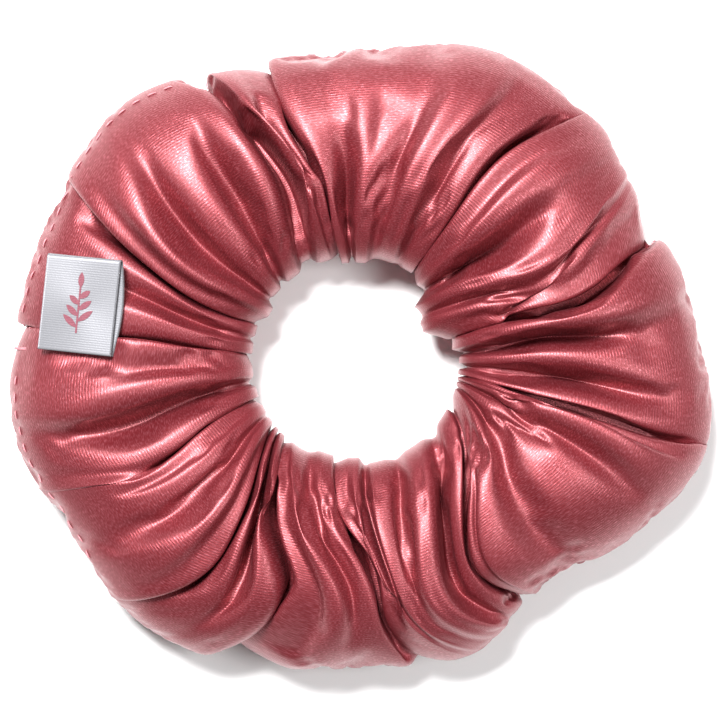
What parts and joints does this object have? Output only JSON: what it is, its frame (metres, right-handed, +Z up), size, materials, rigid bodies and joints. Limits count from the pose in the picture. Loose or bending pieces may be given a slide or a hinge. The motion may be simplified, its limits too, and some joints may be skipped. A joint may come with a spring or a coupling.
{
  "type": "scrunchie",
  "caption": "Gathered satin scrunchie: a cloth tube bunched on a lapped elastic loop, with a folded ribbon label sewn into its cross seam.",
  "frame": {"origin": "centre of the hair opening, at half the height of the elastic", "axes": "+Z up off the table along the opening's axis; -X towards the cross seam and label; +Y along the label away from its sewn edge"},
  "size_m": [0.1195, 0.107, 0.023],
  "materials": {
    "satin": "dusty rose satin weave",
    "elastic_band": "flat woven elastic",
    "thread": "twisted sewing thread",
    "ribbon": "silver grey satin ribbon",
    "print": "dark printed ink on ribbon"
  },
  "bodies": {
    "segment_1": {"cover_1": "satin", "elastic_1": "elastic_band", "seam_thread_1": "thread"},
    "segment_2": {"cover_2": "satin", "elastic_2": "elastic_band", "seam_thread_2": "thread"},
    "segment_3": {"cover_3": "satin", "elastic_3": "elastic_band", "seam_thread_3": "thread", "closing_stitch_3": "thread"},
    "segment_4": {"cover_4": "satin", "elastic_4": "elastic_band", "closing_stitch_4": "thread", "elastic_end": "elastic_band", "elastic_join_stitch": "thread", "cross_seam_stitch": "thread"},
    "segment_5": {"cover_5": "satin", "elastic_5": "elastic_band", "seam_thread_5": "thread", "closing_stitch_5": "thread"},
    "segment_6": {"cover_6": "satin", "elastic_6": "elastic_band", "seam_thread_6": "thread"},
    "segment_7": {"cover_7": "satin", "elastic_7": "elastic_band", "seam_thread_7": "thread"},
    "segment_8": {"cover_8": "satin", "elastic_8": "elastic_band", "seam_thread_8": "thread"},
    "label": {"loop_label": "ribbon", "label_print": "print"}
  },
  "joints": [
    {"name": "stretch_4_5", "type": "slide", "parent": "segment_4", "child": "segment_5", "axis": [0.3827, -0.9239, 0], "range_m": [0, 0.015], "stiffness_N_per_m": 250},
    {"name": "stretch_5_6", "type": "slide", "parent": "segment_5", "child": "segment_6", "axis": [0.9239, -0.3827, 0], "range_m": [0, 0.015], "stiffness_N_per_m": 250},
    {"name": "stretch_6_7", "type": "slide", "parent": "segment_6", "child": "segment_7", "axis": [0.9239, 0.3827, 0], "range_m": [0, 0.015], "stiffness_N_per_m": 250},
    {"name": "stretch_7_8", "type": "slide", "parent": "segment_7", "child": "segment_8", "axis": [0.3827, 0.9239, 0], "range_m": [0, 0.015], "stiffness_N_per_m": 250},
    {"name": "stretch_4_3", "type": "slide", "parent": "segment_4", "child": "segment_3", "axis": [0.3827, 0.9239, 0], "range_m": [0, 0.015], "stiffness_N_per_m": 250},
    {"name": "stretch_3_2", "type": "slide", "parent": "segment_3", "child": "segment_2", "axis": [0.9239, 0.3827, 0], "range_m": [0, 0.015], "stiffness_N_per_m": 250},
    {"name": "stretch_2_1", "type": "slide", "parent": "segment_2", "child": "segment_1", "axis": [0.9239, -0.3827, 0], "range_m": [0, 0.015], "stiffness_N_per_m": 250},
    {"name": "label_lift", "type": "hinge", "parent": "segment_4", "child": "label", "pos_m": [-0.0457, 0.0012, 0.01085], "axis": [0.969, -0.1018, 0.225], "range_deg": [0, 90]}
  ],
  "couplings": [
    {"joint": "stretch_5_6", "follows": "stretch_4_5", "ratio": 1},
    {"joint": "stretch_6_7", "follows": "stretch_4_5", "ratio": 1},
    {"joint": "stretch_7_8", "follows": "stretch_4_5", "ratio": 1},
    {"joint": "stretch_4_3", "follows": "stretch_4_5", "ratio": 1},
    {"joint": "stretch_3_2", "follows": "stretch_4_5", "ratio": 1},
    {"joint": "stretch_2_1", "follows": "stretch_4_5", "ratio": 1}
  ]
}
